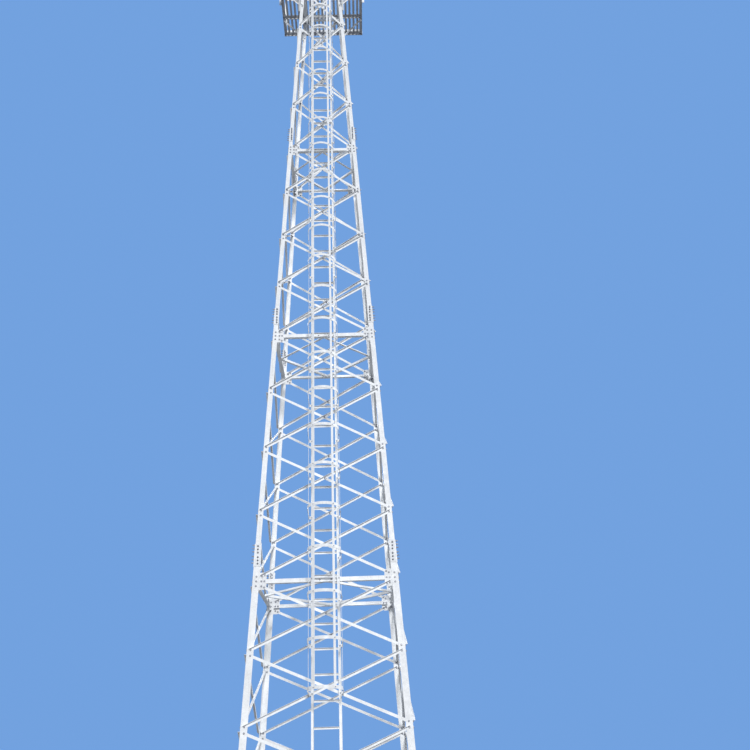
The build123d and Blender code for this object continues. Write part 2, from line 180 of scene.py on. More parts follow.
class PlatformSizes(bpy.types.PropertyGroup):
    """Sizes of the deck and its guard rail."""

    deck_half: length("Deck half", "From the axis to the deck's edge", 0.92)
    deck_top: length("Deck top", "Height of the slats' top", 17.588)
    slat_pitch: length("Slat pitch", "Between two slats", 0.09)
    slat_width: length("Slat width", "Width of a slat", 0.048)
    slat_wall: length("Slat wall", "Thickness of a slat", 0.005)
    member: length("Member", "Size of a deck frame angle", 0.063)
    member_wall: length("Member wall", "Thickness of a deck frame angle", 0.006)
    bearer_inset: length("Bearer inset", "From a leg's heel at the top to a bearer's screws", 0.045)
    rail_height: length("Rail height", "Guard rail above the deck", 1.15)
    mid_rail: length("Mid rail", "Middle rail above the deck", 0.6)
    guard_size: length("Guard size", "Width of a rail's flange", 0.04)
    guard_wall: length("Guard wall", "Thickness of a rail", 0.004)
    toe_bolt: length("Toe bolt", "Bolts of the toe board above the deck", 0.075)
    post_wall: length("Post wall", "Thickness of a post", 0.005)
    post_inset: length("Post inset", "From the deck's edge to a corner post's bolts", 0.023)
    middle_post: length("Middle post", "From the middle to a middle post's bolts", 0.004)
    knee_drop: length("Knee drop", "Foot of a knee below the top of the legs", 0.6)
    knee_step: length("Knee step", "How much lower the side knees start", 0.09)


class FastenerSizes(bpy.types.PropertyGroup):
    """Sizes of the main bolts, from which the others are scaled."""

    across_flats: length("Across flats", "Width of a bolt head", 0.024)
    head: length("Head", "Height of a bolt head", 0.010)
    nut: length("Nut", "Height of a nut", 0.013)
    washer_radius: length("Washer radius", "Radius of a washer", 0.015)
    washer: length("Washer", "Thickness of a washer", 0.003)
    stud_radius: length("Stud radius", "Radius of the thread", 0.008)
    stud_end: length("Stud end", "Thread past the nut", 0.006)
    long_end: length("Long stud end", "Thread past the nuts of the leg joints", 0.024)
    anchor_end: length("Anchor end", "Thread past the lock nuts, before scaling", 0.02)
    strap_head: length("Strap head", "Radius of the low heads inside the cage", 0.007)
    slat_head: length("Slat head", "Radius of the screw heads on the slats", 0.010)
    bead: length("Bead", "Radius of a weld bead", 0.003)
    ladder_scale: share("Ladder scale", "Bolts of the ladder beside the main ones", 0.7)
    strap_scale: share("Strap scale", "Nuts of the cage straps beside the main ones", 0.5)
    slat_scale: share("Slat scale", "Nuts of the slat screws beside the main ones", 0.6)
    knee_scale: share("Knee scale", "Bolts of the knees beside the main ones", 0.8)
    rail_scale: share("Rail scale", "Bolts of the guard rail beside the main ones", 0.6)
    anchor_scale: share("Anchor scale", "Anchor nuts beside the main ones", 1.5)
    lock_scale: share("Lock scale", "Lock nuts beside the anchor nuts under them", 0.98)


class FinishColours(bpy.types.PropertyGroup):
    """Colours of the zinc on the steel, and of the stage."""

    leg: colour("Legs", "Zinc on the legs", (0.83, 0.85, 0.87))
    brace: colour("Bracing", "Zinc on diagonals and horizontals", (0.84, 0.86, 0.88))
    plate: colour("Plates", "Zinc on gussets, splices and feet", (0.79, 0.81, 0.83))
    ladder: colour("Ladder", "Zinc on the ladder and its cage", (0.83, 0.85, 0.87))
    # The deck's tone is darker and bluer than the other zinc as painted shade, standing in for the shade
    # under the deck
    deck: colour("Deck", "Duller zinc on the deck", (0.52, 0.54, 0.58))
    guard: colour("Guard rail", "Zinc on the railing", (0.83, 0.85, 0.87))
    bolt: colour("Bolts", "Duller zinc on the fasteners", (0.31, 0.32, 0.36))
    weld: colour("Welds", "Coated weld beads", (0.70, 0.72, 0.74))
    dust: colour("Dust", "Pale soil splashed on the feet", (0.48, 0.43, 0.36))
    floor: colour("Floor", "Plain pale floor", (0.44, 0.46, 0.49))
    backdrop: colour("Backdrop", "Plain backdrop, the blue of a clear sky", (0.17, 0.36, 0.74))


def settings():
    """The four groups of sizes, in the order tower, ladder, platform, fastener."""
    scene = bpy.context.scene
    return scene.tower_sizes, scene.ladder_sizes, scene.platform_sizes, scene.fastener_sizes


# Places on the leaning sides


def tower():
    """Sizes of the lattice."""
    return bpy.context.scene.tower_sizes


def taper():
    """How far a side moves inwards for each metre of height."""
    sizes = tower()
    return (sizes.base_width - sizes.top_width) / 2 / sizes.frame_height


def slope_length():
    """Length of a side's slope for each metre of height."""
    return math.sqrt(1 + taper() ** 2)


def half_width(height):
    """Half the tower's width, heel to heel, at a height."""
    return tower().base_width / 2 - taper() * height


def levels():
    """Heights of the lower levels and of the top one."""
    sizes = tower()
    lower = [sizes.section_height * count for count in range(1, LOWER_SECTIONS + 1)]
    return lower, sizes.frame_height - sizes.horizontal_size


def joint_heights():
    """Heights of the joints between the legs' lengths."""
    return np.array(levels()[0]) + tower().joint_above


def leg_flange(height):
    """Flange of the leg length that passes a height."""
    return np.array(tower().leg_sizes)[np.searchsorted(joint_heights(), height)]


def bolt_line(height):
    """Distance from the heel of a leg to its bolts at a height."""
    return tower().bolt_share * leg_flange(height)


def panels():
    """Heights of the end bolts of each crossed panel, and whether each end is at a level."""
    sizes = tower()
    lower, top = levels()
    rows = []
    for low, high in zip([sizes.foot_rise] + lower, lower + [top]):
        rise = (high - low) / PANELS_IN_SECTION
        for count in range(PANELS_IN_SECTION):
            at_low = count == 0 and low > sizes.foot_rise
            at_high = count == PANELS_IN_SECTION - 1
            bottom = low + count * rise + (sizes.level_step if at_low else sizes.node_step)
            head = low + (count + 1) * rise - (sizes.level_step if at_high else sizes.node_step)
            rows.append((bottom, head, at_low, at_high))
    return rows


def front_points(across, up, lift):
    """Points of the front side.

    A point goes across the side, up its slope and out of it by its lift. The
    slope rises by up over the slope length and recedes by the taper times that;
    the lift goes forwards, and rises by the taper times as much.
    """
    across, up, lift = np.broadcast_arrays(across, up, lift)
    lean, run = taper(), slope_length()
    base = tower().base_width / 2
    deep = -base + (up * lean - lift) / run
    high = (up + lift * lean) / run
    return np.stack([across, deep, high], axis=-1).reshape(-1, 3)


def front_outward():
    """The direction straight out of the front side."""
    return np.array((0, -1, taper())) / slope_length()


def quarter_matrix(quarter):
    """The matrix of a number of quarter turns about Z."""
    angle = quarter * math.pi / 2
    cos, sin = math.cos(angle), math.sin(angle)
    return np.array(((cos, -sin, 0), (sin, cos, 0), (0, 0, 1)))


def on_sides(points, facing, quarters):
    """Points of the front side and the direction they face, on some or all sides."""
    facings = np.tile(facing, (len(points), 1))
    turns = [quarter_matrix(quarter).T for quarter in quarters]
    places = [points @ turn for turn in turns]
    directions = [facings @ turn for turn in turns]
    return np.concatenate(places), np.concatenate(directions)


# Forms worked out on grids


def ring_faces(rings, sides):
    """Faces of a run of rings with the same number of points, and its two flat ends."""
    step, place = np.meshgrid(np.arange(rings - 1), np.arange(sides), indexing="ij")
    following = (place + 1) % sides
    low, high = step * sides, (step + 1) * sides
    quads = np.stack([low + place, low + following, high + following, high + place], axis=-1)
    ring = np.arange(sides)
    ends = np.stack([ring[::-1], ring + (rings - 1) * sides])
    return [quads.reshape(-1, 4), ends]


def turned_form(profile, sides):
    """Turned form with flat ends.

    The point at step s of the profile and angle t has that step's radius times
    the cosine and sine of t across, and the step's height.
    """
    radius, height = np.array(profile, float).T
    angle = 2 * np.pi * np.arange(sides) / sides
    around = np.stack([np.cos(angle), np.sin(angle)], axis=-1)
    points = np.empty((len(radius), sides, 3))
    points[..., :2] = radius[:, None, None] * around
    points[..., 2] = height[:, None]
    return points.reshape(-1, 3), ring_faces(len(radius), sides)


def bead_form(path, radius, sides=6):
    """Bead carried along a path.

    The point at step s and angle t is the path's point s plus the radius times
    the cosine of t along one normal of the path there and the sine of t along
    the other. At a corner the normal is that of the mean direction.
    """
    path = np.array(path, float)
    runs = np.diff(path, axis=0)
    runs /= np.linalg.norm(runs, axis=1, keepdims=True)
    along = np.concatenate([runs[:1], runs[:-1] + runs[1:], runs[-1:]])
    along /= np.linalg.norm(along, axis=1, keepdims=True)
    first = np.cross(OFF_AXIS, along)
    first /= np.linalg.norm(first, axis=1, keepdims=True)
    second = np.cross(along, first)
    angle = (2 * np.pi * np.arange(sides) / sides)[None, :, None]
    ring = np.cos(angle) * first[:, None] + np.sin(angle) * second[:, None]
    points = path[:, None] + radius * ring
    return points.reshape(-1, 3), ring_faces(len(path), sides)


def joined(forms):
    """Several forms as one."""
    points, faces, count = [], [], 0
    for form_points, form_faces in forms:
        points.append(form_points)
        faces += [face + count for face in form_faces]
        count += len(form_points)
    return np.concatenate(points), faces


def copies(form, origins, frames):
    """Copies of a form: each point is an origin plus that copy's frame times the point."""
    form_points, form_faces = form
    points = np.einsum("nij,vj->nvi", frames, form_points) + origins[:, None]
    starts = (np.arange(len(origins)) * len(form_points))[:, None, None]
    faces = [(face[None] + starts).reshape(-1, face.shape[1]) for face in form_faces]
    return points.reshape(-1, 3), faces


def seat_frames(outwards):
    """Frames whose third axis is outward, each turned a little further about it.

    The first axis is square to the outward one and to Z, or to X where the
    outward one is nearly upright.
    """
    outwards = outwards / np.linalg.norm(outwards, axis=1, keepdims=True)
    upright = np.abs(outwards[:, 2:]) > 0.9
    first = np.cross(np.where(upright, (1.0, 0.0, 0.0), (0.0, 0.0, 1.0)), outwards)
    first /= np.linalg.norm(first, axis=1, keepdims=True)
    second = np.cross(outwards, first)
    angle = (GOLDEN_TURN * np.arange(len(outwards)))[:, None]
    across = np.cos(angle) * first + np.sin(angle) * second
    return np.stack([across, np.cross(outwards, across), outwards], axis=-1)


def washer_form():
    """Washer, from the seat upwards."""
    fastener = bpy.context.scene.fastener_sizes
    radius = fastener.washer_radius
    return turned_form(((radius, 0), (radius, fastener.washer)), sides=12)


def hexagon_form(height):
    """Hexagon on a washer, with a chamfered top.

    Its corners are at the width across flats over the root of three.
    """
    fastener = bpy.context.scene.fastener_sizes
    corner = fastener.across_flats / math.sqrt(3)
    low, top = fastener.washer, fastener.washer + height
    edge = top - CHAMFER_HEIGHT * corner
    return turned_form(((corner, low), (corner, edge), (CHAMFER_RADIUS * corner, top)), sides=6)


def head_form(scale):
    """Washer and bolt head, from the seat upwards."""
    fastener = bpy.context.scene.fastener_sizes
    points, faces = joined([washer_form(), hexagon_form(fastener.head)])
    return points * scale, faces


def nut_form(scale=1.0, stud_end=None):
    """Washer, nut and thread end, from the seat upwards."""
    fastener = bpy.context.scene.fastener_sizes
    low = fastener.washer + fastener.nut
    top = low + (fastener.stud_end if stud_end is None else stud_end)
    radius = fastener.stud_radius
    chamfer = THREAD_CHAMFER * radius
    stud = turned_form(((radius, low), (radius, top - chamfer), (radius - chamfer, top)), sides=8)
    points, faces = joined([washer_form(), hexagon_form(fastener.nut), stud])
    return points * scale, faces


def low_head_form(radius):
    """Low domed head, from the seat upwards; its rings shrink as they rise."""
    return turned_form(LOW_HEAD * radius, sides=8)


# Pieces


def make_piece(name, forms, steel):
    """One mesh object from forms, riding on the tower."""
    points, faces = joined(forms)
    mesh = bpy.data.meshes.new(name)
    mesh.from_pydata(points.tolist(), [], [face for group in faces for face in group.tolist()])
    mesh.materials.append(zinc_on(steel))
    piece = bpy.data.objects.new(name, mesh)
    bpy.context.scene.collection.objects.link(piece)
    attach(piece, "root")


def bolts_through(heads, nuts, facing, quarters, scale=1.0, stud_end=None):
    """Bolts of the front side, on some or all sides, their heads facing one way and nuts the other."""
    heads, directions = on_sides(heads, facing, quarters)
    nuts, _ = on_sides(nuts, facing, quarters)
    return [
        copies(head_form(scale), heads, seat_frames(directions)),
        copies(nut_form(scale, stud_end), nuts, seat_frames(-directions)),
    ]


def side_bolts(across, up, head_lift, nut_lift, scale=1.0, quarters=QUARTER_TURNS):
    """Bolts through the leaning sides' steel, with their heads outside."""
    heads, nuts = front_points(across, up, head_lift), front_points(across, up, nut_lift)
    return bolts_through(heads, nuts, front_outward(), quarters, scale)


class TOWER_OT_finishes(bpy.types.Operator):
    """Gives every steel piece its zinc finish."""

    bl_idname = "tower.finishes"
    bl_label = "Finishes"

    def execute(self, context):
        colours = context.scene.finish_colours
        # Colour, roughness, and strength of the coat's changes in tone
        finishes = {
            "leg_steel": (colours.leg, 0.55, 0.9),
            "brace_steel": (colours.brace, 0.54, 0.8),
            "plate_steel": (colours.plate, 0.56, 1.0),
            "ladder_steel": (colours.ladder, 0.54, 0.8),
            # The deck's darker, bluer tone is painted shade for its shaded underside
            "deck_steel": (colours.deck, 0.58, 1.2),
            "guard_steel": (colours.guard, 0.54, 0.8),
            "bolt_steel": (colours.bolt, 0.42, 1.4),
            "weld_steel": (colours.weld, 0.50, 1.2),
        }
        coat, dust = zinc_coat_group(), ground_dust_group()
        for steel, (tone, roughness, contrast) in finishes.items():
            zinc_material(steel, coat, dust, tone, roughness, contrast)
        slots = {part["node"]: part["material_slot"] for part in frame["record"]["subparts"]}
        for name, node in frame["nodes"].items():
            if not node.material_slots:
                node.data.materials.append(None)
            node.material_slots[0].material = zinc_on(slots[name])
        return {"FINISHED"}


def new_group(name, inputs, outputs):
    """A shader node group with named sockets, its start and its end."""
    group = bpy.data.node_groups.new(name, "ShaderNodeTree")
    for way, sockets in (("INPUT", inputs), ("OUTPUT", outputs)):
        for socket, kind in sockets:
            group.interface.new_socket(name=socket, in_out=way, socket_type=kind)
    return group, group.nodes.new("NodeGroupInput"), group.nodes.new("NodeGroupOutput")


def feed(tree, value, socket):
    """Feeds a socket from another one, or sets it to a number or colour."""
    if isinstance(value, bpy.types.NodeSocket):
        tree.links.new(value, socket)
    else:
        socket.default_value = value


def maths(tree, operation, *values, clamp=False):
    """A Math node; each value is a socket or a number."""
    node = tree.nodes.new("ShaderNodeMath")
    node.operation = operation
    node.use_clamp = clamp
    for value, socket in zip(values, node.inputs):
        feed(tree, value, socket)
    return node.outputs[0]


def mixed(tree, factor, first, second):
    """The result of a Mix node on two colours; each is a socket or a colour.

    The node's colours are its sockets 6 and 7, and its mixed colour is output 2.
    """
    node = tree.nodes.new("ShaderNodeMix")
    node.data_type = "RGBA"
    tree.links.new(factor, node.inputs["Factor"])
    feed(tree, first, node.inputs[6])
    feed(tree, second, node.inputs[7])
    return node.outputs[2]


def mapped(tree, value, old_range, new_range):
    """A Map Range node that moves a value from one range to another."""
    node = tree.nodes.new("ShaderNodeMapRange")
    tree.links.new(value, node.inputs["Value"])
    names = ("From Min", "From Max", "To Min", "To Max")
    for name, number in zip(names, (*old_range, *new_range)):
        node.inputs[name].default_value = number
    return node.outputs["Result"]


def noise(tree, vector, scale, detail, rough=0.5):
    """The value of a Noise Texture."""
    node = tree.nodes.new("ShaderNodeTexNoise")
    tree.links.new(vector, node.inputs["Vector"])
    node.inputs["Scale"].default_value = scale
    node.inputs["Detail"].default_value = detail
    node.inputs["Roughness"].default_value = rough
    return node.outputs["Fac"]


def stretched(tree, vector, scale):
    """Coordinates stretched by a Mapping node."""
    node = tree.nodes.new("ShaderNodeMapping")
    tree.links.new(vector, node.inputs["Vector"])
    node.inputs["Scale"].default_value = scale
    return node.outputs["Vector"]


def zinc_coat_group():
    """Zinc coat: spangles, patches of tone and faint runs down the steel.

    The tone is multiplied by one plus the contrast times the sum of the changes
    that patches, spangles, cloud and runs make.
    """
    number, tint = "NodeSocketFloat", "NodeSocketColor"
    inputs = (("Tone", tint), ("Contrast", number), ("Roughness", number))
    outputs = (("Color", tint), ("Roughness", number), ("Height", number))
    group, start, end = new_group("zinc coat", inputs, outputs)
    place = group.nodes.new("ShaderNodeTexCoord").outputs["Object"]
    spangles_in_metre = (70, 70, 70)
    spangle = group.nodes.new("ShaderNodeTexVoronoi")
    group.links.new(stretched(group, place, spangles_in_metre), spangle.inputs["Vector"])
    spangle.inputs["Scale"].default_value = 1
    flake = group.nodes.new("ShaderNodeSeparateColor")
    group.links.new(spangle.outputs["Color"], flake.inputs["Color"])

    patch = noise(group, place, scale=1.6, detail=4, rough=0.6)
    cloud = noise(group, place, scale=24, detail=3)
    down_the_steel = stretched(group, place, (26, 26, 0.9))
    run = noise(group, down_the_steel, scale=1, detail=3, rough=0.6)
    patches = mapped(group, patch, NOISE_RANGE, (-0.07, 0.05))
    flakes = mapped(group, flake.outputs["Red"], (0, 1), (-0.05, 0.05))
    clouds = mapped(group, cloud, NOISE_RANGE, (-0.03, 0.03))
    runs = mapped(group, run, (0.55, 0.75), (0, -0.12))
    change = maths(group, "ADD", maths(group, "ADD", patches, flakes), maths(group, "ADD", clouds, runs))
    factor = maths(group, "MULTIPLY_ADD", change, start.outputs["Contrast"], 1.0)
    tone = group.nodes.new("ShaderNodeVectorMath")
    tone.operation = "SCALE"
    group.links.new(start.outputs["Tone"], tone.inputs[0])
    group.links.new(factor, tone.inputs["Scale"])
    group.links.new(tone.outputs["Vector"], end.inputs["Color"])

    dull = mapped(group, noise(group, place, scale=9, detail=4, rough=0.6), NOISE_RANGE, (-0.08, 0.12))
    roughness = maths(group, "ADD", start.outputs["Roughness"], dull, clamp=True)
    group.links.new(roughness, end.inputs["Roughness"])

    skin_share, flake_share = 0.6, 0.2
    skin = maths(group, "MULTIPLY", noise(group, place, scale=55, detail=3), skin_share)
    raised = maths(group, "MULTIPLY", flake.outputs["Green"], flake_share)
    group.links.new(maths(group, "ADD", skin, raised), end.inputs["Height"])
    return group


def ground_dust_group():
    """Dust: thickest at the ground, thinning out unevenly over the first half metre."""
    inputs = (("Color", "NodeSocketColor"), ("Dust", "NodeSocketColor"))
    group, start, end = new_group("ground dust", inputs, (("Color", "NodeSocketColor"),))
    place = group.nodes.new("ShaderNodeTexCoord").outputs["Object"]
    split = group.nodes.new("ShaderNodeSeparateXYZ")
    group.links.new(place, split.inputs[0])
    dust_height, most_dust = 0.55, 0.75
    fade = mapped(group, split.outputs["Z"], (0, dust_height), (most_dust, 0))
    speckle = mapped(group, noise(group, place, scale=40, detail=5, rough=0.7), (0.35, 0.7), (0, 1))
    cover = maths(group, "MULTIPLY", fade, speckle, clamp=True)
    dusty = mixed(group, cover, start.outputs["Color"], start.outputs["Dust"])
    group.links.new(dusty, end.inputs["Color"])
    return group


def zinc_on(steel):
    """The material of one kind of steel, apart from the frame's plain one of that name."""
    return bpy.data.materials[f"zinc_on_{steel}"]


def zinc_material(steel, coat, dust, tone, roughness, contrast):
    """Galvanised steel with the coat's grain in its colour, roughness and bump."""
    material = bpy.data.materials.new(f"zinc_on_{steel}")
    material.use_nodes = True
    tree = material.node_tree
    shader = tree.nodes["Principled BSDF"]
    zinc = tree.nodes.new("ShaderNodeGroup")
    zinc.node_tree = coat
    zinc.inputs["Tone"].default_value = (*tone, 1)
    zinc.inputs["Contrast"].default_value = contrast
    zinc.inputs["Roughness"].default_value = roughness
    soil = tree.nodes.new("ShaderNodeGroup")
    soil.node_tree = dust
    soil.inputs["Dust"].default_value = (*bpy.context.scene.finish_colours.dust, 1)
    bump = tree.nodes.new("ShaderNodeBump")
    bump.inputs["Strength"].default_value = 0.25
    bump.inputs["Distance"].default_value = 0.002
    tree.links.new(zinc.outputs["Color"], soil.inputs["Color"])
    tree.links.new(soil.outputs["Color"], shader.inputs["Base Color"])
    tree.links.new(zinc.outputs["Roughness"], shader.inputs["Roughness"])
    tree.links.new(zinc.outputs["Height"], bump.inputs["Height"])
    tree.links.new(bump.outputs["Normal"], shader.inputs["Normal"])
    shader.inputs["Metallic"].default_value = 0.05
    return material


class TOWER_OT_splice_bolts(bpy.types.Operator):
    """Two groups of three bolts in a row on each splice plate.

    Their nuts and long thread ends are outside. Those of the left and right
    sides are higher, so that the bolts of a leg's two flanges miss each other.
    """

    bl_idname = "tower.splice_bolts"
    bl_label = "Splice bolts"

    def execute(self, context):
        sizes, _, _, fastener = settings()
        away = sizes.joint_bolt + sizes.joint_pitch * np.arange(JOINT_ROW)
        steps = np.concatenate([-away[::-1], away])
        flanges = np.array(sizes.leg_sizes)
        lines = sizes.bolt_share * (flanges[:-1] + flanges[1:]) / 2
        joint, step, hand = np.meshgrid(joint_heights(), steps, HANDS, indexing="ij")
        across = hand * (half_width(joint) - lines[:, None, None])
        inward = -front_outward()
        forms = []
        for quarters, stagger in (((0, 2), 0.0), ((1, 3), sizes.stagger)):
            up = joint * slope_length() + step + stagger
            heads = front_points(across, up, -sizes.leg_wall - sizes.splice_angle_wall)
            nuts = front_points(across, up, sizes.splice_plate_wall)
            forms += bolts_through(heads, nuts, inward, quarters, stud_end=fastener.long_end)
        make_piece("splice_bolts", forms, "bolt_steel")
        return {"FINISHED"}


class TOWER_OT_node_bolts(bpy.types.Operator):
    """A bolt at each end of each diagonal, two on a gusset, and one where two cross."""

    bl_idname = "tower.node_bolts"
    bl_label = "Node bolts"

    def execute(self, context):
        sizes = context.scene.tower_sizes
        outer, inner = [], []
        for bottom, head, at_low, at_high in panels():
            low_x = half_width(bottom) - self.end_line(bottom, at_low)
            high_x = half_width(head) - self.end_line(head, at_high)
            low_up, high_up = bottom * slope_length(), head * slope_length()
            run = np.array((low_x + high_x, high_up - low_up))
            step = run / np.linalg.norm(run) * sizes.bolt_pitch
            mirrored = step * (-1, 1)
            outer += self.end_bolts(-low_x, low_up, step, at_low)
            outer += self.end_bolts(high_x, high_up, -step, at_high)
            seat = -sizes.leg_wall - sizes.gusset_wall * (at_low or at_high)
            inner_bolts = self.end_bolts(low_x, low_up, mirrored, at_low)
            inner_bolts += self.end_bolts(-high_x, high_up, -mirrored, at_high)
            inner += [(*bolt, seat) for bolt in inner_bolts]
            cross = (bottom + (head - bottom) * low_x / (low_x + high_x)) * slope_length()
            outer.append((0, cross, seat - sizes.brace_wall, 0))
        across, up, behind, _ = np.array(outer).T
        forms = side_bolts(across, up, sizes.brace_wall, behind)
        across, up, _, before, seat = np.array(inner).T
        forms += side_bolts(across, up, before, seat - sizes.brace_wall)
        make_piece("node_bolts", forms, "bolt_steel")
        return {"FINISHED"}

    def end_line(self, height, on_gusset):
        """Distance from the heel of a leg to the end bolt of a diagonal."""
        if on_gusset:
            return leg_flange(height) + tower().gusset_bolt
        return bolt_line(height)

    def end_bolts(self, across, up, step, on_gusset):
        """Places of one bolt on a leg or of two on a gusset.

        Each has the lifts of the steel's faces behind the bar and before it.
        """
        sizes = tower()
        if not on_gusset:
            return [(across, up, -sizes.leg_wall, 0)]
        faces = (-sizes.leg_wall - sizes.gusset_wall, -sizes.leg_wall)
        return [(across + count * step[0], up + count * step[1], *faces) for count in (0, 1)]


class TOWER_OT_gusset_bolts(bpy.types.Operator):
    """Bolts of the gussets on the legs, of the horizontals and of the plan bracing."""

    bl_idname = "tower.gusset_bolts"
    bl_label = "Gusset bolts"

    def execute(self, context):
        sizes = context.scene.tower_sizes
        lower, top = levels()
        every = np.array(lower + [top])
        inside = -sizes.leg_wall - sizes.gusset_wall
        behind = inside - sizes.horizontal_wall

        rows = np.array([LOWER_ROWS] * len(lower) + [TOP_ROWS]) * sizes.gusset_pitch
        height, hand = np.meshgrid((every[:, None] + rows).ravel(), HANDS, indexing="ij")
        across = hand * (half_width(height) - bolt_line(height))
        forms = side_bolts(across, height * slope_length(), 0, inside)

        insets = sizes.horizontal_bolt + np.array((0, sizes.bolt_pitch))
        level, inset, hand = np.meshgrid(every, insets, HANDS, indexing="ij")
        across = hand * (half_width(level) - leg_flange(level) - inset)
        forms += side_bolts(across, level * slope_length(), -sizes.leg_wall, behind)

        level, hand = np.meshgrid(np.array(lower), HANDS, indexing="ij")
        forms += side_bolts(hand * sizes.plan_bolt, level * slope_length(), inside, behind)
        make_piece("gusset_bolts", forms, "bolt_steel")
        return {"FINISHED"}


class TOWER_OT_ladder_fasteners(bpy.types.Operator):
    """Bolts of the ladder's brackets, of the hoops' tabs and of the straps."""

    bl_idname = "tower.ladder_fasteners"
    bl_label = "Ladder fasteners"

    def execute(self, context):
        sizes, ladder, _, fastener = settings()
        scale = fastener.ladder_scale
        rail_face = ladder.standoff + ladder.rail_wall
        bracket_back = ladder.standoff - ladder.bracket_wall
        inside = -sizes.leg_wall - sizes.gusset_wall
        bracket_face = inside + ladder.bracket_wall
        back = inside - sizes.horizontal_wall

        lower, top = levels()
        level, hand = np.meshgrid(np.array(lower + [top]), HANDS, indexing="ij")
        across, up = hand * ladder.bracket_bolt, level * slope_length()
        forms = side_bolts(across, up, rail_face, bracket_back, scale, FRONT)
        forms += side_bolts(across, up, bracket_face, back, scale, FRONT)

        count = int((sizes.frame_height - ladder.first_hoop) / ladder.hoop_pitch)
        heights = ladder.first_hoop + ladder.hoop_pitch * np.arange(count)
        hoop, hand = np.meshgrid(heights, HANDS, indexing="ij")
        across, face = hand * ladder.hoop_bolt, rail_face + ladder.hoop_wall
        forms += side_bolts(across, hoop, face, ladder.standoff, scale, FRONT)
        forms += self.strap_bolts(ladder, fastener, hoop, hand)
        make_piece("ladder_bolts", forms, "bolt_steel")
        return {"FINISHED"}

    def strap_bolts(self, ladder, fastener, hoop, hand):
        """Small bolts through straps and hoops, square to the hoop where they are.

        On the straight sides a bolt points across. On the half round front it
        stands on the radius at its angle from the front, where a flat facet is
        nearer to the centre by the cosine of half the facet's angle.
        """
        across, outwards = np.array((1.0, 0, 0)), front_outward()
        centre = ladder.hoop_depth - ladder.hoop_radius
        half_facet = math.pi / 2 / HOOP_FACETS
        strap_angle = (2 * STRAP_FACET - 1) * half_facet
        side_strap = (math.pi / 2, ladder.strap_lift, 1.0)
        front_strap = (strap_angle, centre, math.cos(half_facet))
        head, nut = low_head_form(fastener.strap_head), nut_form(fastener.strap_scale)
        forms = []
        for angle, lift, near in (side_strap, front_strap):
            outer = ladder.hoop_radius * near
            inner = (ladder.hoop_radius - ladder.hoop_wall) * near - ladder.hoop_wall
            for side in HANDS:
                up = hoop[hand == side]
                direction = side * math.sin(angle) * across + math.cos(angle) * outwards
                start = front_points(0.0, up, lift)
                directions = np.tile(direction, (len(up), 1))
                forms.append(copies(head, start + inner * direction, seat_frames(-directions)))
                forms.append(copies(nut, start + outer * direction, seat_frames(directions)))
        return forms


class TOWER_OT_ladder_welds(bpy.types.Operator):
    """Weld beads round the ends of the rungs."""

    bl_idname = "tower.ladder_welds"
    bl_label = "Ladder welds"

    def execute(self, context):
        _, ladder, platform, fastener = settings()
        count = int((platform.deck_top - ladder.first_rung) / ladder.rung_pitch) + 1
        tops = ladder.first_rung + ladder.rung_pitch * np.arange(count)
        origins = front_points(0.0, tops, 0.0) - front_points(0.0, 0.0, 0.0)
        frames = np.tile(np.eye(3), (count, 1, 1))
        end = ladder.rail_centre - ladder.rail_size / 2
        back, front = ladder.rung_lift, ladder.rung_lift + ladder.rung_size
        drops, lifts = np.array((0, 0, -ladder.rung_size)), np.array((front, back, back))
        forms = []
        for hand in HANDS:
            corners = front_points(hand * end, drops, lifts)
            forms.append(copies(bead_form(corners, fastener.bead), origins, frames))
        make_piece("rung_welds", forms, "weld_steel")
        return {"FINISHED"}


class TOWER_OT_anchors(bpy.types.Operator):
    """Anchor studs with two nuts each, and weld beads at the feet of the legs."""

    bl_idname = "tower.anchors"
    bl_label = "Anchors"

    def execute(self, context):
        sizes, _, _, fastener = settings()
        make_piece("anchor_nuts", self.nuts(sizes, fastener), "bolt_steel")
        make_piece("foot_welds", [self.welds(sizes, fastener)], "weld_steel")
        return {"FINISHED"}

    def nuts(self, sizes, fastener):
        """Nuts on the four anchor bolts of each base plate, and lock nuts on them."""
        scale = fastener.anchor_scale
        corner_x, corner_y, bolt_x, bolt_y = np.meshgrid(HANDS, HANDS, HANDS, HANDS, indexing="ij")
        across = (corner_x * sizes.foot_centre + bolt_x * sizes.anchor_step).ravel()
        deep = (corner_y * sizes.foot_centre + bolt_y * sizes.anchor_step).ravel()
        seats = np.stack([across, deep, np.full(across.shape, sizes.foot_plate)], axis=-1)
        lock_seats = seats + (0, 0, (fastener.washer + fastener.nut) * scale)
        upwards = seat_frames(np.tile((0.0, 0.0, 1.0), (len(seats), 1)))
        lock_nut = nut_form(fastener.lock_scale * scale, fastener.anchor_end)
        return [copies(nut_form(scale, 0.0), seats, upwards), copies(lock_nut, lock_seats, upwards)]

    def welds(self, sizes, fastener):
        """A bead round the foot of each leg, just above the base plate."""
        size, wall = sizes.leg_sizes[0], sizes.leg_wall
        rise, gap = 0.001, 0.002
        heel = half_width(sizes.foot_plate)
        outline = ((0, 0), (size, 0), (size, wall), (wall, wall), (wall, size), (0, size), (0, gap))
        path = [(-heel + x, -heel + y, sizes.foot_plate + rise) for x, y in outline]
        turns = np.array([quarter_matrix(quarter) for quarter in QUARTER_TURNS])
        return copies(bead_form(path, 2 * fastener.bead), np.zeros((len(turns), 3)), turns)


